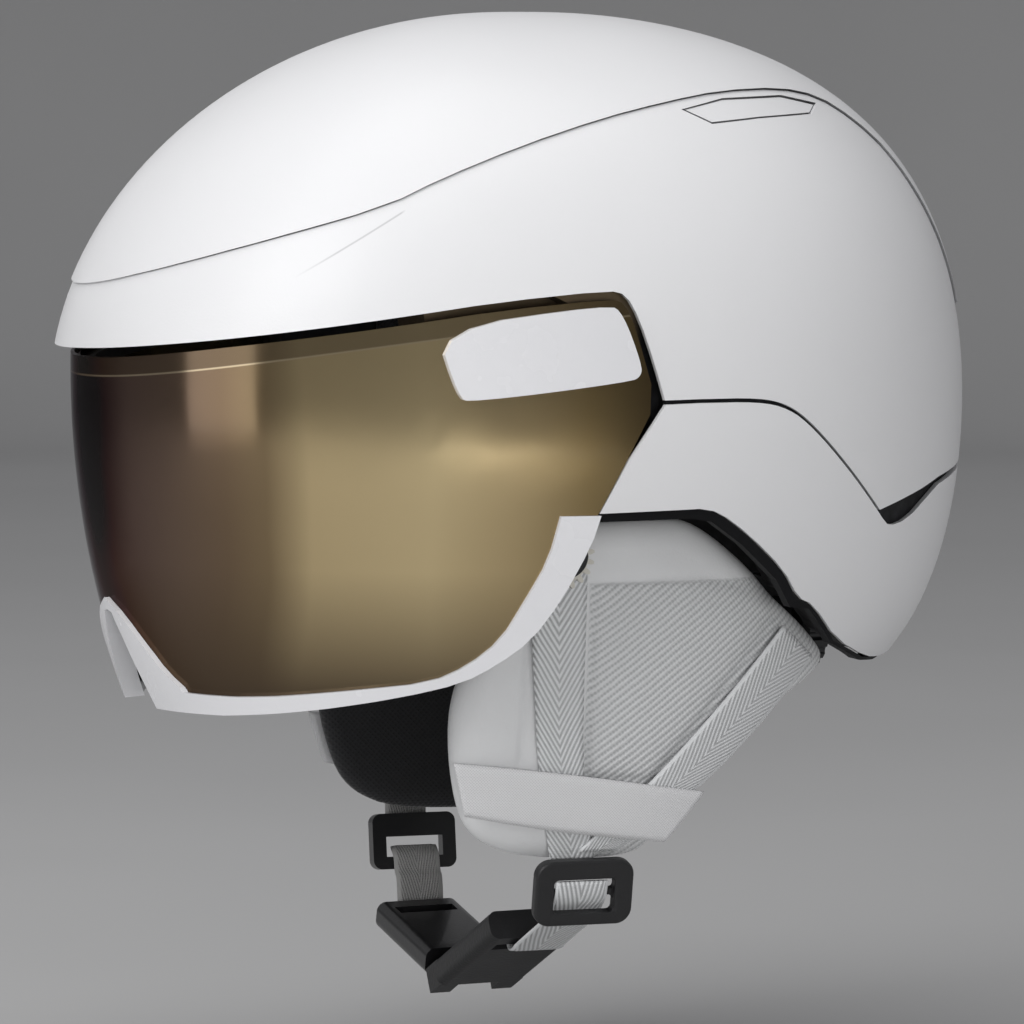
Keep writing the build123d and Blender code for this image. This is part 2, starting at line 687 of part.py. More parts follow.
def buckle_seam():
    return Pos(BUCKLE_SEAM_X + 1.5, BUCKLE_Y, BUCKLE_SEAM_Z) * Rot(0, 0, BUCKLE_YAW)


def buckle_left_place():
    """Where the socket half's own axes lie: x along the strap, z away from the chin's underside."""
    return buckle_seam() * Rot(0, -LEFT_SLOPE, 0)


def buckle_right_place():
    return buckle_seam() * Rot(0, RIGHT_SLOPE, 0)


def placed(place, x, z):
    """World (X, Z) of a point given in a buckle half's own axes."""
    point = (place * Pos(x, 0, z)).position
    return (point.X, point.Z)


def strap_left_lower():
    """Webbing from the ladder lock, up through the slot of the socket half, to its loose end."""
    own = [(48.5, -6.8), (41.0, -6.8), (38.6, -4.8), (38.4, 4.6), (36.6, 6.8), (33.0, 6.8), (9.0, 6.8)]
    threaded = [(1.6, -3.4), (1.4, -9.0), (-3.2, -13.6), (-3.6, -16.0)]
    points = [placed(lock_place(), x, z) for x, z in threaded]
    points += [placed(buckle_left_place(), x, z) for x, z in own]
    return one_solid(strip_along(points, -14.2, 2.2, WEBBING_WALL))


def buckle_left():
    """Socket half: a body with a webbing slot and two cheeks that take the tongue."""
    body = block(1, 47, -15, 15, -4.5, 4.5)
    body = body.fillet(3.0, body.edges().filter_by(Axis.X))
    body -= block(36, 41, -11, 11, -9, 9)
    cheek = block(-8, 2, 7.2, 14, -4, 4)
    body += cheek + mirror(cheek, Plane.XZ)
    return buckle_left_place() * body


def strap_holder():
    """Loop fitting at the end of the right pad, hinge bar of the right strap."""
    body = block(-2.4, 2.4, -14, 14, -9, 9)
    body = body.fillet(3.0, body.edges().filter_by(Axis.X))
    body -= block(-5, 5, -9.5, 9.5, -5, 1.5)
    return holder_place() * body


def strap_right_lower():
    """Webbing from the holder's lower bar to the bar of the tongue half."""
    threaded = [(0, -1.8), (3.4, -4.5), (3.6, -10.0)]
    own = [(-52.0, -6.4), (-45.8, -6.4), (-43.0, -4.2), (-42.5, 2.8)]
    points = [placed(holder_place(), x, z) for x, z in threaded] + [(-58.8, -157.0)]
    points += [placed(buckle_right_place(), x, z) for x, z in own]
    return one_solid(strip_along(points, -22.5, -7.2, WEBBING_WALL))


def buckle_right():
    """Tongue half: a body with a webbing slot and a blade between the cheeks."""
    body = block(-50, -9.5, -14, 14, -4.5, 4.5)
    body = body.fillet(3.0, body.edges().filter_by(Axis.X))
    body -= block(-45, -40, -10, 10, -9, 9)
    body += block(-10.5, -1.5, -6.4, 6.4, -3, 3)
    return buckle_right_place() * body


# ---------------------------------------------------------------- writing the nodes
def write(name, shape):
    export_step(shape, f"parts/{name}.step")


def write_pair(name, left):
    write(f"{name}_left", left)
    write(f"{name}_right", mirror(left, Plane.YZ))


def main():
    os.makedirs("parts", exist_ok=True)
    write("crown_shell", crown_shell())
    write("main_shell", main_shell())
    write("lower_shell", lower_shell())
    write("eps_core", eps_core())
    write("ear_edge_trim", ear_edge_trim())
    write("rear_vent_mesh", rear_vent_mesh())
    write("crown_vent_inserts", crown_vent_inserts())
    write("crown_pad", crown_pad())
    write("brow_pad", brow_pad())
    write("nape_pad", nape_pad())
    write_pair("side_pad", side_pad())
    write("dial_housing", dial_housing())
    write("dial_pinion", dial_pinion())
    write("fit_dial", fit_dial())
    write("fit_band_left", fit_band(1))
    write("fit_band_right", mirror(fit_band(-1), Plane.YZ))
    write_pair("pivot_plate", pivot_plate())
    write("pivot_screws", pivot_screws())
    write_pair("sun_gear", sun_gear())
    write_pair("axle_cap", axle_cap())
    write_pair("lever", lever())
    write_pair("idler_gear", idler_gear())
    write_pair("planet_gear", planet_gear())
    write_pair("visor_bracket", visor_bracket())
    write("visor_lens_outer", lens_pane(0.0, LENS_PANE))
    write("visor_lens_inner", lens_pane(LENS_WALL - LENS_PANE, LENS_PANE, INNER_DROP))
    write("lens_gasket", lens_gasket())
    write("visor_frame_lower", visor_frame_lower())
    write("visor_top_seal", visor_top_seal())
    write("visor_face_foam", face_foam())
    write_pair("grip_tab", grip_tab())
    write_pair("ear_pad", ear_pad())
    write("strap_front_left", front_branch_left())
    write("strap_front_right", mirror(front_branch(HOLDER), Plane.YZ))
    write("strap_rear_left", rear_branch(LOCK))
    write("strap_rear_right", mirror(rear_branch(HOLDER), Plane.YZ))
    write_pair("strap_loop_band", loop_band())
    write("ladder_lock", ladder_lock())
    write("strap_left_lower", strap_left_lower())
    write("buckle_left", buckle_left())
    write("strap_holder", strap_holder())
    write("strap_right_lower", strap_right_lower())
    write("buckle_right", buckle_right())


main()
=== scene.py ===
import bmesh
import bpy
import math
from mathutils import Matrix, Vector


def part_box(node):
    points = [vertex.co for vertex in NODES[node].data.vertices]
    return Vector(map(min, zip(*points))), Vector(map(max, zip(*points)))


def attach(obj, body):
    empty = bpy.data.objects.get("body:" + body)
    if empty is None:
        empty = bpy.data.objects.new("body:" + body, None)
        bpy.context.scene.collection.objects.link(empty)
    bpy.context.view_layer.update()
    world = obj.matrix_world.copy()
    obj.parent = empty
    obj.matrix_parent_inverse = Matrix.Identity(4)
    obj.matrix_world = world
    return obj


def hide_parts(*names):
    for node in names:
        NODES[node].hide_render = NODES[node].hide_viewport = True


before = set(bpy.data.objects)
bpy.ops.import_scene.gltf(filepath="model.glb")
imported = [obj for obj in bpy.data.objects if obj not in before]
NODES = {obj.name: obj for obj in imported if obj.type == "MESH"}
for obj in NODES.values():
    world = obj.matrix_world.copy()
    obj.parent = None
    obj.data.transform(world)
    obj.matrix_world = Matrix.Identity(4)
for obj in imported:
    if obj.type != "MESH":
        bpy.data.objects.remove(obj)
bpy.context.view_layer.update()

MM = 0.001

# The forms of part.py that the soft pieces lie on, in millimetres:
# half width, front, back, top and lower reach
HEAD_FORM = (82.0, 104.0, 102.0, 92.0, 250.0)
PAD_FORM = (90.0, 150.0, 108.0, 120.0, 210.0)
SQUARENESS = 2.15
FORM_LIMIT = 160.0  # further out than any point asked for
HALVINGS = 22  # of the search for a point on a form


# ---------------------------------------------------------------- camera and lights
AZIMUTH, ELEVATION = math.radians(72), math.radians(4)
DISTANCE = 1.8
FOCAL_LENGTH = 202.5
AIM_RIGHT, AIM_UP = -0.0025, -0.035

view_right = Vector((math.cos(AZIMUTH), math.sin(AZIMUTH), 0))
view_back = Vector((
    math.sin(AZIMUTH) * math.cos(ELEVATION), -math.cos(AZIMUTH) * math.cos(ELEVATION), math.sin(ELEVATION)
))
view_up = view_back.cross(view_right)
camera_data = bpy.data.cameras.new("camera")
camera_data.lens = FOCAL_LENGTH
camera_data.dof.use_dof = False
camera = bpy.data.objects.new("camera", camera_data)
bpy.context.scene.collection.objects.link(camera)
camera.location = view_right * AIM_RIGHT + view_up * AIM_UP + view_back * DISTANCE
camera.rotation_euler = view_back.to_track_quat("Z", "Y").to_euler()
bpy.context.scene.camera = camera


def area_light(name, place, target, size, power):
    data = bpy.data.lights.new(name, "AREA")
    data.shape = "RECTANGLE"
    data.size, data.size_y = size
    data.energy = power
    light = bpy.data.objects.new(name, data)
    bpy.context.scene.collection.objects.link(light)
    light.location = place
    light.rotation_euler = (Vector(place) - Vector(target)).to_track_quat("Z", "Y").to_euler()
    return light


area_light("key", (0.9, -1.7, 1.3), (0, 0, 0.02), (1.3, 1.3), 22)
area_light("top", (0.2, -0.3, 1.7), (0, 0, 0), (1.4, 1.4), 11)
area_light("front", (0.2, -2.0, 0.2), (0, 0, -0.03), (1.0, 1.2), 5)
# The low fill lights the pad and straps, and leaves no reflection in the lens
fill_light = area_light("fill", (1.9, -0.1, -0.25), (0, 0, -0.09), (1.0, 0.8), 23)
fill_light.visible_glossy = False

world = bpy.data.worlds.new("studio")
world.use_nodes = True
background = world.node_tree.nodes["Background"]
background.inputs["Color"].default_value = (0.80, 0.80, 0.82, 1)
background.inputs["Strength"].default_value = 0.42
bpy.context.scene.world = world
bpy.context.scene.view_settings.view_transform = "Standard"


# ---------------------------------------------------------------- materials
class Shader:
    """Node material on one Principled shader, its patterns in object space."""

    def __init__(self, name, **sockets):
        self.material = bpy.data.materials.new(name)
        self.material.use_nodes = True
        self.tree = self.material.node_tree
        self.shader = self.tree.nodes["Principled BSDF"]
        self.set(self.shader, **sockets)
        self.place = self.node("ShaderNodeTexCoord").outputs["Object"]
        self.normal = None

    def plug(self, socket, value):
        """Link another node's output to a socket, or give the socket a fixed value."""
        if isinstance(value, bpy.types.NodeSocket):
            self.tree.links.new(value, socket)
        else:
            socket.default_value = value

    def set(self, node, **values):
        """Fill sockets by name, with underscores for the spaces."""
        for name, value in values.items():
            self.plug(node.inputs[name.replace("_", " ")], value)

    def node(self, kind, **sockets):
        node = self.tree.nodes.new(kind)
        self.set(node, **sockets)
        return node

    def maths(self, operation, a, b=0.0):
        node = self.tree.nodes.new("ShaderNodeMath")
        node.operation = operation
        self.plug(node.inputs[0], a)
        self.plug(node.inputs[1], b)
        return node.outputs[0]

    def wave(self, value, pitch):
        return self.maths("SINE", self.maths("MULTIPLY", value, math.tau / pitch))

    def axes(self, vector=None):
        return tuple(self.node("ShaderNodeSeparateXYZ", Vector=vector or self.place).outputs)

    def noise(self, scale, detail=3.0):
        return self.node("ShaderNodeTexNoise", Vector=self.place, Scale=scale, Detail=detail).outputs["Fac"]

    def cells(self, scale):
        return self.node("ShaderNodeTexVoronoi", Vector=self.place, Scale=scale).outputs["Distance"]

    def ramp(self, value, stops):
        node = self.node("ShaderNodeValToRGB", Fac=value)
        elements = node.color_ramp.elements
        while len(elements) < len(stops):
            elements.new(0.5)
        for element, (position, colour) in zip(elements, stops):
            element.position = position
            element.color = (*colour, 1)
        return node.outputs["Color"]

    def spread(self, value, low, high, new_low=0.0, new_high=1.0):
        """Map low..high to new_low..new_high, held at both ends."""
        return self.node("ShaderNodeMapRange", Value=value, From_Min=low, From_Max=high,
                         To_Min=new_low, To_Max=new_high).outputs[0]

    def mix(self, share, a, b):
        node = self.node("ShaderNodeMixRGB", Fac=share)
        for socket, value in zip(node.inputs[1:], (a, b)):
            self.plug(socket, (*value, 1) if isinstance(value, tuple) else value)
        return node.outputs[0]

    def colour(self, output):
        self.set(self.shader, Base_Color=output)

    def roughness(self, output):
        self.set(self.shader, Roughness=output)

    def bump(self, height, distance, strength=1.0):
        """Add relief on top of the relief already there."""
        node = self.node("ShaderNodeBump", Height=height, Distance=distance, Strength=strength)
        if self.normal is not None:
            self.set(node, Normal=self.normal)
        self.normal = node.outputs["Normal"]
        self.set(self.shader, Normal=self.normal)


def plastic(name, base, rough, depth=0.00004, uneven=0.05, **sockets):
    """Moulded plastic: fine grain, uneven gloss and a slight drift in tone."""
    s = Shader(name, **sockets)
    dark = tuple(c * (1 - uneven) for c in base)
    s.colour(s.mix(s.spread(s.noise(14, 2), 0.15, 0.85), base, dark))
    s.roughness(s.spread(s.noise(60, 3), 0.2, 0.8, rough - 0.02, rough + 0.03))
    s.bump(s.noise(900, 2), depth)
    return s.material


def shell_plastic():
    """Satin white moulding, with the painted shade of a fine crease that runs down from the crown seam on
    each side.
    """
    s = Shader("shell_satin_white", Specular_IOR_Level=0.45, Coat_Weight=0.12, Coat_Roughness=0.25)
    _, y, z = s.axes()
    slope = s.maths("MULTIPLY", s.maths("ADD", y, 0.073), 0.62)
    across = s.maths("SUBTRACT", s.maths("SUBTRACT", z, 0.0555), slope)
    run = s.maths("MULTIPLY", s.spread(y, -0.096, -0.084), s.spread(y, -0.0655, -0.064, 1, 0))
    # Painted shade: a thin grey line along the crease
    crease_shade = s.maths("MULTIPLY", s.spread(s.maths("ABSOLUTE", across), 0.0001, 0.0004, 1, 0), run)
    white = s.mix(s.spread(s.noise(9, 5), 0.3, 0.7), (0.78, 0.78, 0.79), (0.76, 0.76, 0.77))
    s.colour(s.mix(s.maths("MULTIPLY", crease_shade, 0.55), white, (0.35, 0.35, 0.36)))
    s.roughness(s.spread(s.noise(45, 6), 0.3, 0.7, 0.36, 0.44))
    s.bump(s.noise(1500, 2), 0.00003)
    s.bump(s.noise(25, 2), 0.0001, 0.3)
    return s.material


def mirror_lens():
    """Bronze mirror coating with its reflection painted in: darker towards the nose, the rear end and the
    bottom, with painted shade on a bevel band along the top and a painted highlight line below that band.
    """
    s = Shader("lens_bronze_mirror", Metallic=0.92, Coat_Weight=0.12, Coat_Roughness=0.03)
    s.shader.inputs["Specular Tint"].default_value = (0.22, 0.18, 0.2, 1)
    _, y, z = s.axes()
    # Painted reflection of the studio: the bronze runs dark at the nose and the rear end and bright along
    # the side
    along = s.maths("ADD", y, s.maths("MULTIPLY", s.maths("SUBTRACT", s.noise(9, 2), 0.5), 0.02))
    bronze_painted_light = s.ramp(s.spread(along, -0.141, 0.006), [
        (0.0, (0.05, 0.034, 0.038)), (0.05, (0.16, 0.11, 0.09)), (0.18, (0.19, 0.13, 0.08)),
        (0.24, (0.25, 0.18, 0.10)), (0.31, (0.60, 0.47, 0.26)), (0.55, (0.74, 0.59, 0.33)),
        (0.72, (0.56, 0.43, 0.23)), (0.86, (0.33, 0.24, 0.11)), (1.0, (0.12, 0.085, 0.04)),
    ])
    # Painted reflection: darker towards the bottom
    bronze_painted_light = s.mix(s.spread(z, -0.085, -0.045), (0.10, 0.07, 0.045), bronze_painted_light)
    # Depth below the lens's top edge, a line that rises to the rear and bows a little
    bow = s.maths("POWER", s.maths("DIVIDE", s.maths("ADD", y, 0.077), 0.069), 2.0)
    top = s.maths("ADD", s.maths("MULTIPLY", s.maths("ADD", y, 0.008), 0.152), 0.0369)
    below = s.maths("SUBTRACT", s.maths("SUBTRACT", top, s.maths("MULTIPLY", bow, 0.0018)), z)
    # Painted shade on the bevel band along the top edge
    bevel = s.spread(below, 0.0052, 0.0056, 1, 0)
    bronze_painted_light = s.mix(s.maths("MULTIPLY", bevel, 0.55), bronze_painted_light, (0.13, 0.095, 0.06))
    # Painted highlight: a pale line along the bevel band's lower edge
    line = s.spread(s.maths("ABSOLUTE", s.maths("SUBTRACT", below, 0.0055)), 0.0001, 0.0004, 0.6, 0)
    s.colour(s.mix(line, bronze_painted_light, (0.75, 0.62, 0.42)))
    s.roughness(s.spread(s.noise(30, 3), 0.3, 0.7, 0.12, 0.17))
    s.bump(s.noise(18, 2), 0.0002, 0.15)
    return s.material


def foam():
    """Dark beads, with pale grey painted in the crown seam for the white ledge face in shade, and bronze
    light painted in the narrow gap behind the lens.
    """
    s = Shader("foam_beads", Roughness=0.85)
    beads = s.cells(260)
    _, y, z = s.axes()
    dark = s.mix(s.spread(beads, 0.1, 0.7), (0.022, 0.022, 0.024), (0.012, 0.012, 0.013))
    # Painted shade: pale grey where the crown seam shows the foam, standing for the white ledge face in
    # shade
    crown = s.spread(s.maths("SUBTRACT", z, s.maths("MULTIPLY", y, 0.12)), 0.046, 0.050)
    tone = s.mix(crown, dark, (0.42, 0.42, 0.43))
    # Painted light: bronze in the narrow gap behind the lens, where it lifts the shade
    brim = s.spread(s.maths("SUBTRACT", z, s.maths("MULTIPLY", y, 0.152)), 0.0315, 0.0325)
    gap_light = s.maths("MAXIMUM", brim, s.spread(y, -0.0085, -0.0075))
    gap_light = s.maths("MULTIPLY", gap_light, s.spread(y, 0.0005, 0.0035, 1, 0))
    gap_light = s.maths("MULTIPLY", gap_light, s.spread(z, -0.02, -0.014))
    gap_light = s.maths("MULTIPLY", gap_light, s.maths("SUBTRACT", 1.0, crown))
    s.colour(s.mix(gap_light, tone, (0.16, 0.12, 0.075)))
    s.bump(beads, 0.0005, 0.5)
    return s.material


def fabric(name, base, pitch, sheen=0.25, soft=0.0003):
    """Plain woven or knitted cloth: two crossed sets of yarns, with painted shade between them."""
    s = Shader(name, Roughness=0.85, Sheen_Weight=sheen, Sheen_Roughness=0.5)
    _, y, z = s.axes()
    across = s.wave(s.maths("ADD", y, z), pitch)
    along = s.wave(s.maths("SUBTRACT", y, z), pitch)
    yarns = s.spread(s.maths("MAXIMUM", across, along), -1, 1)
    # Painted shade in the hollows between the yarns
    tone = s.mix(yarns, tuple(c * 0.72 for c in base), base)
    s.colour(s.mix(s.spread(s.noise(22, 4), 0.3, 0.7, 0.0, 0.25), tone, tuple(c * 0.8 for c in base)))
    s.bump(yarns, soft, 0.6)
    s.bump(s.noise(700, 3), 0.0002, 0.4)
    return s.material


def webbing(name, base, pitch, slope, width, contrast=0.62):
    """Herringbone webbing on UVs in millimetres: u across from the middle, v along."""
    s = Shader(name, Roughness=0.8, Sheen_Weight=0.15, Sheen_Roughness=0.5)
    u, v, _ = s.axes(s.node("ShaderNodeTexCoord").outputs["UV"])
    drift = s.maths("MULTIPLY", s.maths("SUBTRACT", s.noise(35, 2), 0.5), 1.6)
    lean = s.maths("ABSOLUTE", s.maths("ADD", u, drift))
    phase = s.maths("ADD", v, s.maths("MULTIPLY", lean, slope))
    ribs = s.spread(s.wave(phase, pitch), -1, 1)
    yarn = s.spread(s.wave(v, 0.8), -1, 1, 0, 0.25)
    edge = s.spread(s.maths("ABSOLUTE", u), width / 2 - 1.3, width / 2 - 0.9)
    height = s.mix(edge, s.maths("ADD", ribs, yarn), (0.6, 0.6, 0.6))
    # Painted shade in the grooves between the ribs
    groove_shade = s.maths("MULTIPLY", s.spread(ribs, 0.1, 0.75, 1, 0), s.maths("SUBTRACT", 1.0, edge))
    tone = s.mix(groove_shade, base, tuple(c * contrast for c in base))
    s.colour(s.mix(s.spread(s.noise(40, 4), 0.35, 0.65, 0, 0.2), tone, tuple(c * 0.8 for c in base)))
    s.bump(height, 0.0004, 0.7)
    s.bump(s.noise(900, 2), 0.0002, 0.4)
    return s.material


def pad_fabric():
    """Ear pad cloth: plain round the edge, diagonal ribs inside the sewn panel, with painted shade in their
    grooves.
    """
    s = Shader("pad_ribbed", Roughness=0.85, Sheen_Weight=0.3, Sheen_Roughness=0.5)
    _, y, z = s.axes()
    wander = s.maths("MULTIPLY", s.maths("SUBTRACT", s.noise(60, 2), 0.5), 0.0012)
    run = s.maths("ADD", s.maths("MULTIPLY", y, -0.60), s.maths("MULTIPLY", z, 0.80))
    ribs = s.spread(s.wave(s.maths("ADD", run, wander), 0.0019), -1, 1)
    cross = s.maths("ADD", s.maths("MULTIPLY", y, 0.80), s.maths("MULTIPLY", z, 0.60))
    knots = s.spread(s.wave(cross, 0.0011), -1, 1)
    inside = s.maths("MULTIPLY", s.spread(z, -0.0515, -0.0505, 1, 0), s.spread(y, -0.0065, -0.0055))
    weave = s.maths("MULTIPLY", s.maths("ADD", ribs, s.maths("MULTIPLY", knots, 0.3)), inside)
    # Painted shade in the grooves between the ribs
    groove_shade = s.maths("MULTIPLY", inside, s.spread(weave, 0.05, 0.75, 1, 0))
    tone = s.mix(groove_shade, (0.74, 0.745, 0.75), (0.45, 0.46, 0.465))
    s.colour(s.mix(s.spread(s.noise(30, 4), 0.3, 0.7, 0, 0.15), tone, (0.42, 0.42, 0.43)))
    s.bump(weave, 0.0005, 0.7)
    s.bump(s.noise(1200, 2), 0.00025, 0.35)
    return s.material


def mesh_weave():
    """Dark wire mesh behind the rear vents."""
    s = Shader("vent_mesh", Roughness=0.6)
    _, y, z = s.axes()
    wires = s.maths("MAXIMUM", s.wave(y, 0.002), s.wave(z, 0.002))
    s.colour(s.mix(s.spread(wires, -0.2, 0.9), (0.004, 0.004, 0.004), (0.03, 0.03, 0.032)))
    s.bump(wires, 0.0005, 0.7)
    return s.material


SHELL = shell_plastic()
LENS = mirror_lens()
FRAME_WHITE = plastic("frame_gloss_white", (0.78, 0.78, 0.80), 0.26, uneven=0.015, Coat_Weight=0.3)
BLACK = plastic("plastic_black", (0.012, 0.012, 0.013), 0.3, uneven=0.3, Coat_Weight=0.2)
GREY = plastic("plastic_dark_grey", (0.017, 0.017, 0.018), 0.42, depth=0.0001, uneven=0.25)
GEAR = plastic("plastic_natural", (0.62, 0.6, 0.54), 0.45)
STEEL = plastic("screw_steel", (0.5, 0.5, 0.52), 0.3, Metallic=1.0)
RUBBER = plastic("seal_rubber", (0.02, 0.019, 0.02), 0.6, depth=0.0001, uneven=0.3)
TRIM = plastic("trim_soft_black", (0.007, 0.007, 0.008), 0.7, uneven=0.3, Specular_IOR_Level=0.25)
FOAM = foam()
MESH = mesh_weave()
LINER = fabric("liner_knit", (0.035, 0.035, 0.038), 0.0016)
PAD = pad_fabric()
PAD_DARK = fabric("pad_inner_knit", (0.03, 0.03, 0.032), 0.0018)
LOOP = fabric("loop_smooth_cloth", (0.76, 0.76, 0.77), 0.0009, soft=0.0001)
WEB_FRONT = webbing("webbing_front", (0.78, 0.79, 0.80), 2.9, 1.9, 18, 0.55)
WEB_CHIN = webbing("webbing_chin", (0.74, 0.75, 0.76), 6.0, 4.2, 17, 0.5)
WEB_GREY = webbing("webbing_grey", (0.36, 0.355, 0.35), 3.6, 4.0, 15, 0.75)

CAD_MATERIALS = {
    "crown_shell": SHELL, "main_shell": SHELL, "lower_shell": SHELL, "crown_vent_inserts": SHELL,
    "eps_core": FOAM, "ear_edge_trim": TRIM, "lens_gasket": RUBBER, "visor_top_seal": RUBBER,
    "rear_vent_mesh": MESH, "dial_housing": BLACK, "fit_dial": BLACK, "fit_band_left": BLACK,
    "fit_band_right": BLACK, "strap_holder": BLACK, "buckle_right": BLACK, "dial_pinion": GEAR,
    "pivot_screws": STEEL, "visor_lens_outer": LENS, "visor_lens_inner": LENS,
    "visor_frame_lower": FRAME_WHITE, "ladder_lock": GREY, "buckle_left": GREY,
}
for side in ("left", "right"):
    for stem in ("sun_gear", "idler_gear", "planet_gear"):
        CAD_MATERIALS[f"{stem}_{side}"] = GEAR
    for stem in ("pivot_plate", "axle_cap", "lever", "visor_bracket"):
        CAD_MATERIALS[f"{stem}_{side}"] = GREY
    CAD_MATERIALS[f"grip_tab_{side}"] = FRAME_WHITE
for node, material in CAD_MATERIALS.items():
    for slot in NODES[node].material_slots:
        slot.material = material


def soften_edges(names, width, segments=3):
    """Small rounds on the edges of CAD nodes, by modifiers that leave their meshes alone."""
    for name in names:
        weld = NODES[name].modifiers.new("weld", "WELD")
        weld.merge_threshold = 0.000002
        bevel = NODES[name].modifiers.new("bevel", "BEVEL")
        bevel.width = width
        bevel.segments = segments
        bevel.limit_method = "ANGLE"
        bevel.angle_limit = math.radians(35)
        NODES[name].modifiers.new("normals", "WEIGHTED_NORMAL").keep_sharp = True


soften_edges(("buckle_left", "buckle_right"), 0.0019, 4)
soften_edges(("strap_holder", "ladder_lock"), 0.0011)
soften_edges(("fit_dial", "dial_housing", "lever_left", "lever_right"), 0.0003, 2)


# ---------------------------------------------------------------- forms and meshes, in millimetres
def form_reach(direction, half_width, front, back, top, low):
    """Distance from the origin to a form's surface along a unit direction."""
    blend = (direction.y + 1) / 2
    blend = blend * blend * (3 - 2 * blend)
    lift = 2.0 + 0.4 * blend
    depth = front if direction.y < 0 else back
    height = top if direction.z > 0 else low
    level = abs(direction.x / half_width) ** SQUARENESS + abs(direction.y / depth) ** SQUARENESS
    return (level ** (lift / SQUARENESS) + abs(direction.z / height) ** lift) ** (-1 / lift)


def form_point(form, axis, sign, u, v, out):
    """Point that stands out from a form: two coordinates are given, the one along axis is found."""
    near, far = 0.0, FORM_LIMIT
    for _ in range(HALVINGS):
        reach = (near + far) / 2
        coordinates = [u, v]
        coordinates.insert(axis, sign * reach)
        point = Vector(coordinates)
        if point.length < form_reach(point.normalized(), *form) + out:
            near = reach
        else:
            far = reach
    return point


def line_length(points):
    return sum((b - a).length for a, b in zip(points, points[1:]))


def resample(points, count, closed=False):
    """Evenly spaced points on a polyline."""
    points = [Vector(p) for p in points]
    if closed:
        points.append(points[0])
    total = line_length(points)
    steps = count if closed else count - 1
    result, i, passed = [], 0, 0.0
    for k in range(count):
        goal = total * k / steps
        while i < len(points) - 2 and passed + (points[i + 1] - points[i]).length < goal:
            passed += (points[i + 1] - points[i]).length
            i += 1
        piece = (points[i + 1] - points[i]).length
        result.append(points[i].lerp(points[i + 1], min(1.0, (goal - passed) / piece)))
    return result


def rounded(points, closed=False, times=3):
    """Corners cut again and again, so that the line turns smoothly."""
    points = [Vector(p) for p in points]
    for _ in range(times):
        pairs = list(zip(points, points[1:] + points[:1] if closed else points[1:]))
        cut = [q for a, b in pairs for q in (a.lerp(b, 0.25), a.lerp(b, 0.75))]
        points = cut if closed else [points[0]] + cut[1:-1] + [points[-1]]
    return points


def ring_faces(rings, around, first=0):
    """Quads that join rings of vertices, each ring numbered on from the one before."""
    faces = []
    for ring in range(rings - 1):
        a = first + ring * around
        b = a + around
        for i in range(around):
            j = (i + 1) % around
            faces.append((a + i, a + j, b + j, b + i))
    return faces


def new_object(name, vertices, faces, materials, uvs=None):
    """Smooth mesh object from vertices in millimetres."""
    mesh = bpy.data.meshes.new(name)
    mesh.from_pydata([Vector(v) * MM for v in vertices], [], faces)
    for material in materials:
        mesh.materials.append(material)
    for polygon in mesh.polygons:
        polygon.use_smooth = True
    if uvs:
        layer = mesh.uv_layers.new(name="UVMap")
        for loop in mesh.loops:
            layer.data[loop.index].uv = uvs[loop.vertex_index]
    mesh.validate()
    obj = bpy.data.objects.new(name, mesh)
    bpy.context.scene.collection.objects.link(obj)
    return obj


def outward_normals(obj):
    work = bmesh.new()
    work.from_mesh(obj.data)
    bmesh.ops.recalc_face_normals(work, faces=work.faces)
    work.to_mesh(obj.data)
    work.free()


def finish_piece(obj, body, slot, node):
    """Turn a closed piece's faces outwards, give it its body and hide its CAD node; slot is not used."""
    outward_normals(obj)
    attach(obj, body)
    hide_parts(node)


# ---------------------------------------------------------------- padded forms
EDGE_STEPS = 9  # rings round a pillow's rolled edge
BACK_RINGS = 12
BACK_GAP = 0.4  # keeps a pillow's back clear of what it lies on
NO_SEAM = 99.0  # distance that stands for no seam near


def pillow(name, outline, centre, place, wall, relief, materials, lining=6, count=44):
    """Stuffed closed form: place(u, v, out) gives its surface, relief(point) the outer cloth's height.

    The second material starts at ring number lining of the rolled edge and covers the back.
    """
    edge = wall / 2
    rings = [("face", k / count) for k in range(1, count + 1)]
    rings += [("edge", 90 - 180 / EDGE_STEPS * k) for k in range(1, EDGE_STEPS + 1)]
    rings += [("back", 1 - k / (BACK_RINGS + 1)) for k in range(1, BACK_RINGS + 1)]
    vertices = []
    for kind, value in rings:
        for corner in outline:
            reach = (corner - centre).length
            inner = 1 - edge / reach
            if kind == "face":
                point = centre.lerp(corner, inner * value)
                out = relief(point)
            elif kind == "edge":
                angle = math.radians(value)
                point = centre.lerp(corner, 1 - edge * (1 - math.cos(angle)) / reach)
                out = -edge + (edge - BACK_GAP) * math.sin(angle)
                out += (relief(point) + BACK_GAP / 2) * max(0.0, math.sin(angle)) ** 4
            else:
                point = centre.lerp(corner, inner * value)
                out = -wall + BACK_GAP - 0.08 * wall * math.sin(math.pi * value)
            vertices.append(place(point.x, point.y, out))
    around = len(outline)
    faces = ring_faces(len(rings), around)
    inside = [face[0] // around >= count + lining for face in faces]
    for ring, out in ((0, relief(centre)), (len(rings) - 1, BACK_GAP - wall)):
        middle = len(vertices)
        vertices.append(place(centre.x, centre.y, out))
        for i in range(around):
            faces.append((middle, ring * around + i, ring * around + (i + 1) % around))
            inside.append(ring > 0)
    pad = new_object(name, vertices, faces, materials)
    for polygon, dark in zip(pad.data.polygons, inside):
        polygon.material_index = int(dark)
    return pad


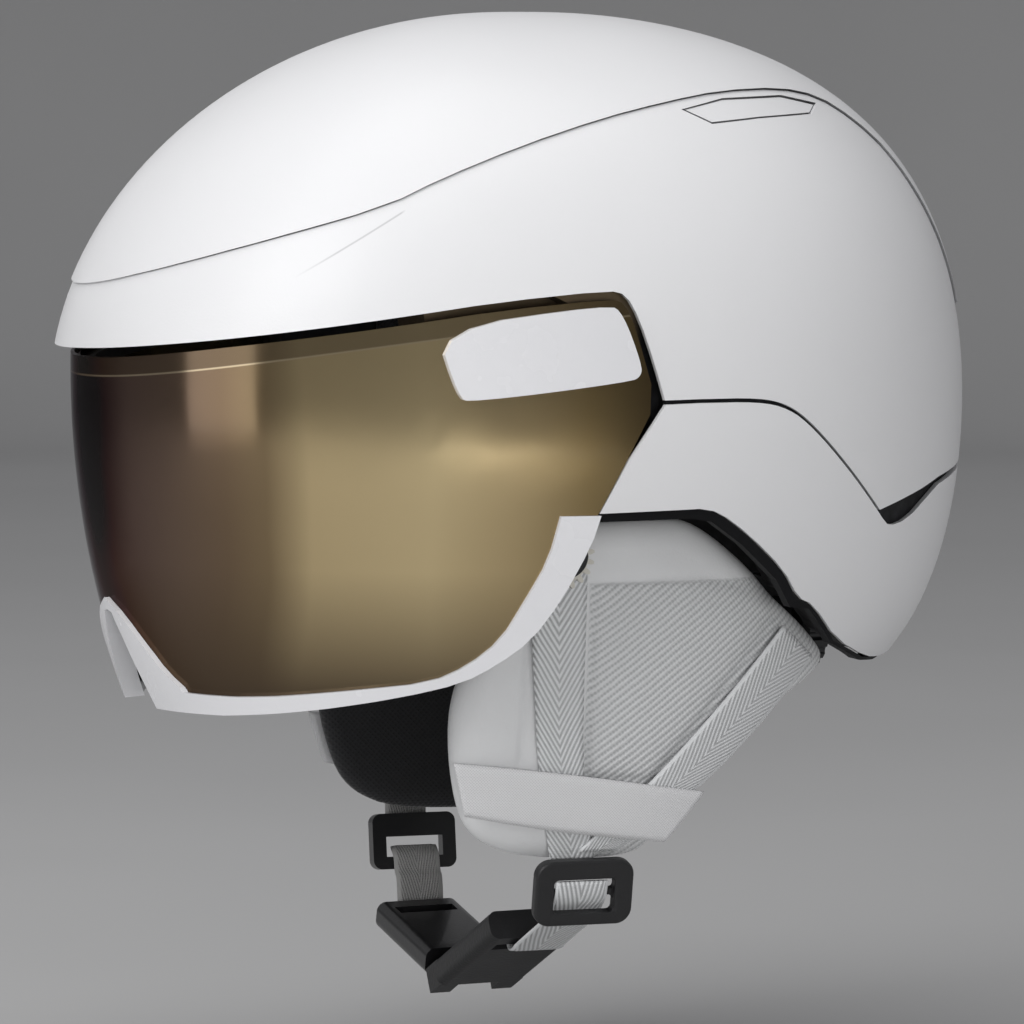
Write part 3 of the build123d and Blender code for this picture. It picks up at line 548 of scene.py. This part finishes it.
# ---------------------------------------------------------------- ear pads
PAD_OUTLINE = [
    (-18, -32.5), (-27, -48), (-40, -70), (-46, -84), (-46, -101), (-42, -120), (-36, -129),
    (-22, -135), (12, -136), (20, -130), (32, -117), (59, -91), (83, -80), (80, -74.5),
    (67.5, -64.5), (57, -57), (50, -49.5), (37.5, -39.5), (27, -33), (19, -31.5),
]
PAD_CENTRE = Vector((6, -84))
PAD_WALL = 15.0
PAD_SEAMS = [
    [(-34, -51.5), (-8, -50), (30, -49.5), (56, -55)],
    [(-5.5, -50), (-4.5, -110)],
    [(-4.5, -110), (22, -112)],
    [(60, -60), (36, -88), (12, -116)],
    [(-24, -46), (-25, -104)],
]


def seam_distance(point):
    best = NO_SEAM
    for line in PAD_SEAMS:
        for a, b in zip(line, line[1:]):
            a, b = Vector(a), Vector(b)
            t = max(0.0, min(1.0, (point - a).dot(b - a) / (b - a).length_squared))
            best = min(best, (point - a.lerp(b, t)).length)
    return best


def pad_height(point):
    """How far the outer cloth stands from the pad form, with its sewn seams."""
    seam = seam_distance(point)
    puff = 1.0 - math.exp(-seam / 5.0)
    return -1.9 + 1.7 * puff - 0.9 * math.exp(-(seam / 0.9) ** 2)


def ear_pad(side, sign):
    outline = resample(rounded(PAD_OUTLINE, closed=True, times=2), 150, closed=True)

    def place(y, z, out):
        return form_point(PAD_FORM, 0, sign, y, z, out)

    lining = 6 if side == "left" else 3
    pad = pillow(f"ear_pad_cloth_{side}", outline, PAD_CENTRE, place, PAD_WALL, pad_height,
                 (PAD, PAD_DARK), lining)
    finish_piece(pad, f"pad_{side}", "pad_fabric", f"ear_pad_{side}")


# ---------------------------------------------------------------- liner pads and face foam
LINER_GAP = 0.3  # between a liner pad's face and the form of the head
FOAM_STEPS, FOAM_AROUND = 40, 20


def rounded_box(u_low, u_high, v_low, v_high):
    corners = [(u_low, v_low), (u_high, v_low), (u_high, v_high), (u_low, v_high)]
    return resample(rounded(resample(corners, 12, closed=True), closed=True, times=2), 72, closed=True)


def liner_pad(name, node, axis, sign, box, wall, channels):
    """Pad on the cavity of the foam core; its face looks inwards, towards the head."""
    centre = Vector(((box[0] + box[1]) / 2, (box[2] + box[3]) / 2))

    def place(u, v, out):
        return form_point(HEAD_FORM, axis, sign, u, v, -wall - LINER_GAP - out)

    def relief(point):
        seam = min([abs(point.x - c) for c in channels] + [NO_SEAM])
        return -0.3 - 1.1 * math.exp(-(seam / 1.6) ** 2)

    pad = pillow(name, rounded_box(*box), centre, place, wall, relief, (LINER, LINER), count=22)
    finish_piece(pad, "helmet", "liner_fabric", node)


def lens_point(angle, z, inset):
    """Point of the visor's form at an angle from straight ahead, moved inwards by inset."""
    half_y = 139.8 * math.sqrt(1 - ((z - 10) / 208) ** 2)
    half_x = 112.6 * math.sqrt(1 - ((z - 2) / 210) ** 2)
    s, c = math.sin(angle), math.cos(angle)
    reach = ((abs(s) / half_x) ** SQUARENESS + (abs(c) / half_y) ** SQUARENESS) ** (-1 / SQUARENESS) - inset
    return Vector((reach * s, -reach * c, z))


def face_foam():
    """Foam edge behind the lower frame, one strip each side of the nose."""
    vertices, faces = [], []
    for sign in (1, -1):
        first = len(vertices)
        for k in range(FOAM_STEPS + 1):
            share = k / FOAM_STEPS
            angle = math.radians(10.5 + 53.5 * share)
            low, high = -89.5 + 12.0 * share ** 1.6, -81.2 + 7.4 * share
            from_end = min(1.0, min(share, 1 - share) / 0.05)
            full = math.sqrt(max(0.02, 1 - (1 - from_end) ** 2))
            for i in range(FOAM_AROUND):
                turn = math.tau * i / FOAM_AROUND
                c, s = math.cos(turn), math.sin(turn)
                depth = 9.2 + 4.0 * full * math.copysign(abs(c) ** 0.6, c)
                z = (low + high) / 2 + (high - low) / 2 * full * math.copysign(abs(s) ** 0.6, s)
                p = lens_point(angle, z, depth)
                vertices.append((sign * p.x, p.y, p.z))
        last = len(vertices) - FOAM_AROUND
        faces += ring_faces(FOAM_STEPS + 1, FOAM_AROUND, first)
        faces += [tuple(range(start, start + FOAM_AROUND)) for start in (first, last)]
    strips = new_object("face_foam_strips", vertices, faces, (LINER,))
    finish_piece(strips, "visor", "liner_fabric", "visor_face_foam")


liner_pad("crown_cushion", "crown_pad", 2, 1, (-26, 26, -46, 48), 6.0, (-9, 9))
liner_pad("brow_cushion", "brow_pad", 1, -1, (-64, 64, 28, 50), 6.0, (-40, -20, 0, 20, 40))
liner_pad("nape_cushion", "nape_pad", 1, 1, (-40, 40, -48, -14), 5.0, (-14, 14))
for side, sign in (("left", 1), ("right", -1)):
    liner_pad(f"side_cushion_{side}", f"side_pad_{side}", 0, sign, (-24, 44, -8, 34), 5.0, (-2, 22))
face_foam()


# ---------------------------------------------------------------- webbing
WEB_WALL = 1.2
THIN_EDGE = 0.55  # share of the wall that is left at a strip's two edges
WEB_COLUMNS, LOOP_COLUMNS = 9, 11
PAD_STRAP_ROWS, CHIN_ROWS = 60, 70
# Where each side's pad straps meet their fitting, along Y
FITTING_Y = {"left": -5.0, "right": -15.0}
# (X, Z) centres of the ladder lock, the strap holder and the closed buckle
LOCK, HOLDER, BUCKLE = (77.6, -137.5), (-66.5, -146.0), (-6.0, -180.0)
BUCKLE_YAW = math.cos(math.radians(6.5))


def strip_mesh(name, rows, material, width):
    """Flat closed strip: each row is its points across with a normal. UVs are in millimetres."""
    columns = len(rows[0][0])
    vertices, uvs = [], []
    passed = 0.0
    last = rows[0][0][columns // 2]
    for points, normal in rows:
        middle = points[columns // 2]
        passed += (middle - last).length
        last = middle
        for face in (1, -1):
            for i in range(columns)[::face]:
                thin = THIN_EDGE if i in (0, columns - 1) else 1.0
                vertices.append(points[i] + normal * (WEB_WALL / 2 * face * thin))
                uvs.append(((i / (columns - 1) - 0.5) * width, passed))
    around = 2 * columns
    end = (len(rows) - 1) * around
    faces = ring_faces(len(rows), around)
    faces.append(tuple(range(around - 1, -1, -1)))
    faces.append(tuple(range(end, end + around)))
    return new_object(name, vertices, faces, (material,), uvs)


def on_pad(sign, front_line, rear_line, out, columns):
    """Rows of points between two (Y, Z) lines, out from the pad form, each with its normal."""
    rows = []
    for a, b in zip(resample(front_line, PAD_STRAP_ROWS), resample(rear_line, PAD_STRAP_ROWS)):
        places = [a.lerp(b, i / (columns - 1)) for i in range(columns)]
        rows.append([form_point(PAD_FORM, 0, sign, p.x, p.y, out) for p in places])
    result = []
    for k, points in enumerate(rows):
        ahead, behind = rows[min(k + 1, len(rows) - 1)], rows[max(k - 1, 0)]
        along = ahead[columns // 2] - behind[columns // 2]
        normal = (points[-1] - points[0]).cross(along).normalized()
        result.append((points, -normal if normal.x * sign < 0 else normal))
    return result


def pad_strap(side, sign, stem, node, material, slot, width, out, columns, times, front, rear):
    rows = on_pad(sign, rounded(front, times=times), rounded(rear, times=times), out, columns)
    strip = strip_mesh(f"{stem}_{side}", rows, material, width)
    finish_piece(strip, f"pad_{side}", slot, f"{node}_{side}")


def pad_straps(side, sign):
    """Front and rear webbing of an ear pad, and the cloth loop that lies over both."""
    y = FITTING_Y[side]
    web, slot = (WEB_FRONT, "webbing_white") if side == "left" else (WEB_GREY, "webbing_grey")
    pad_strap(side, sign, "webbing_front", "strap_front", web, slot, 15, 0.8, WEB_COLUMNS, 2,
              [(-26, -46), (-21, -106), (y - 8, -140)], [(-8, -46), (-7.5, -106), (y + 6, -140)])
    pad_strap(side, sign, "webbing_rear", "strap_rear", web, slot, 18, 2.3, WEB_COLUMNS, 2,
              [(59, -66), (17, -110), (y - 1, -132.5)], [(72, -76.5), (36.5, -111), (y + 11, -132.5)])
    pad_strap(side, sign, "loop_band", "strap_loop_band", LOOP, "pad_fabric", 17, 3.9, LOOP_COLUMNS, 3,
              [(-46.5, -104), (-12, -108), (33, -115.5)], [(-42, -120.5), (-14, -126), (21, -130.5)])


def chin_strip(name, points, y_low, y_high, material, body, slot, node):
    """Webbing of the chin strap along (X, Z) points, flat between two Y planes."""
    width = y_high - y_low
    line = [Vector((p[0], 0, p[1])) for p in rounded(points, times=2)]
    line = resample(line, CHIN_ROWS)
    rows = []
    for k, p in enumerate(line):
        along = (line[min(k + 1, CHIN_ROWS - 1)] - line[max(k - 1, 0)]).normalized()
        normal = Vector((-along.z, 0, along.x))
        across = [y_low + width * i / (WEB_COLUMNS - 1) for i in range(WEB_COLUMNS)]
        rows.append(([Vector((p.x, y, p.z)) for y in across], normal))
    finish_piece(strip_mesh(name, rows, material, width), body, slot, node)


def route(centre, degrees, points, yaw=1.0):
    """World (X, Z) places of a fitting's own points; degrees is its turn about +Y."""
    s, c = math.sin(math.radians(degrees)), math.cos(math.radians(degrees))
    return [(centre[0] + yaw * (x * c + z * s), centre[1] - x * s + z * c) for x, z in points]


# From each fitting to its half of the buckle
LEFT_ROUTE = route(LOCK, 12, ((1.6, -3.4), (1.4, -9.0), (-3.2, -13.6), (-3.6, -16.0)))
LEFT_ROUTE += route(BUCKLE, -26, (
    (48.5, -6.8), (41.0, -6.8), (38.6, -4.8), (38.4, 4.6), (36.6, 6.8), (33.0, 6.8), (9.0, 6.8)), BUCKLE_YAW)
RIGHT_ROUTE = route(HOLDER, -8, ((0, -1.8), (3.4, -4.5), (3.6, -10.0))) + [(-58.8, -157.0)]
RIGHT_ROUTE += route(BUCKLE, 14, ((-52.0, -6.4), (-45.8, -6.4), (-43.0, -4.2), (-42.5, 2.8)), BUCKLE_YAW)

for side, sign in (("left", 1), ("right", -1)):
    ear_pad(side, sign)
    pad_straps(side, sign)
chin_strip("webbing_chin_left", LEFT_ROUTE, -14.2, 2.2, WEB_CHIN,
           "chin_left", "webbing_white", "strap_left_lower")
chin_strip("webbing_chin_right", RIGHT_ROUTE, -22.5, -7.2, WEB_GREY,
           "chin_right", "webbing_grey", "strap_right_lower")


# ---------------------------------------------------------------- floor, in metres
FLOOR_DROP = 0.03  # below the lowest node, so that moving parts stay clear of it
FLOOR_HUB, FLOOR_REACH = 0.02, 3.4
CURVE_RADIUS, CURVE_STEPS = 0.5, 12
RIM_HEIGHT = 0.9
FLOOR_AROUND = 64


def floor():
    """Wide pale floor that curves up to a low rim all round, far behind the cameras."""
    low = min(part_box(node)[0].z for node in NODES) - FLOOR_DROP
    profile = [(FLOOR_REACH + CURVE_RADIUS, RIM_HEIGHT)]
    for k in range(CURVE_STEPS, 0, -1):
        angle = math.radians(90 * k / CURVE_STEPS)
        rise = CURVE_RADIUS * (1 - math.cos(angle))
        profile.append((FLOOR_REACH + CURVE_RADIUS * math.sin(angle), rise))
    profile += [(FLOOR_REACH, 0), (1.0, 0), (FLOOR_HUB, 0)]
    vertices = []
    for reach, height in profile:
        for i in range(FLOOR_AROUND):
            turn = math.tau * i / FLOOR_AROUND
            vertices.append((reach * math.cos(turn) / MM, reach * math.sin(turn) / MM, (low + height) / MM))
    faces = ring_faces(len(profile), FLOOR_AROUND)
    faces.append(tuple(range(len(vertices) - FLOOR_AROUND, len(vertices))))
    s = Shader("floor_pale", Roughness=0.9)
    s.colour(s.mix(s.spread(s.noise(3, 2), 0.3, 0.7), (0.46, 0.46, 0.46), (0.44, 0.44, 0.44)))
    new_object("floor", vertices, faces, (s.material,))


floor()
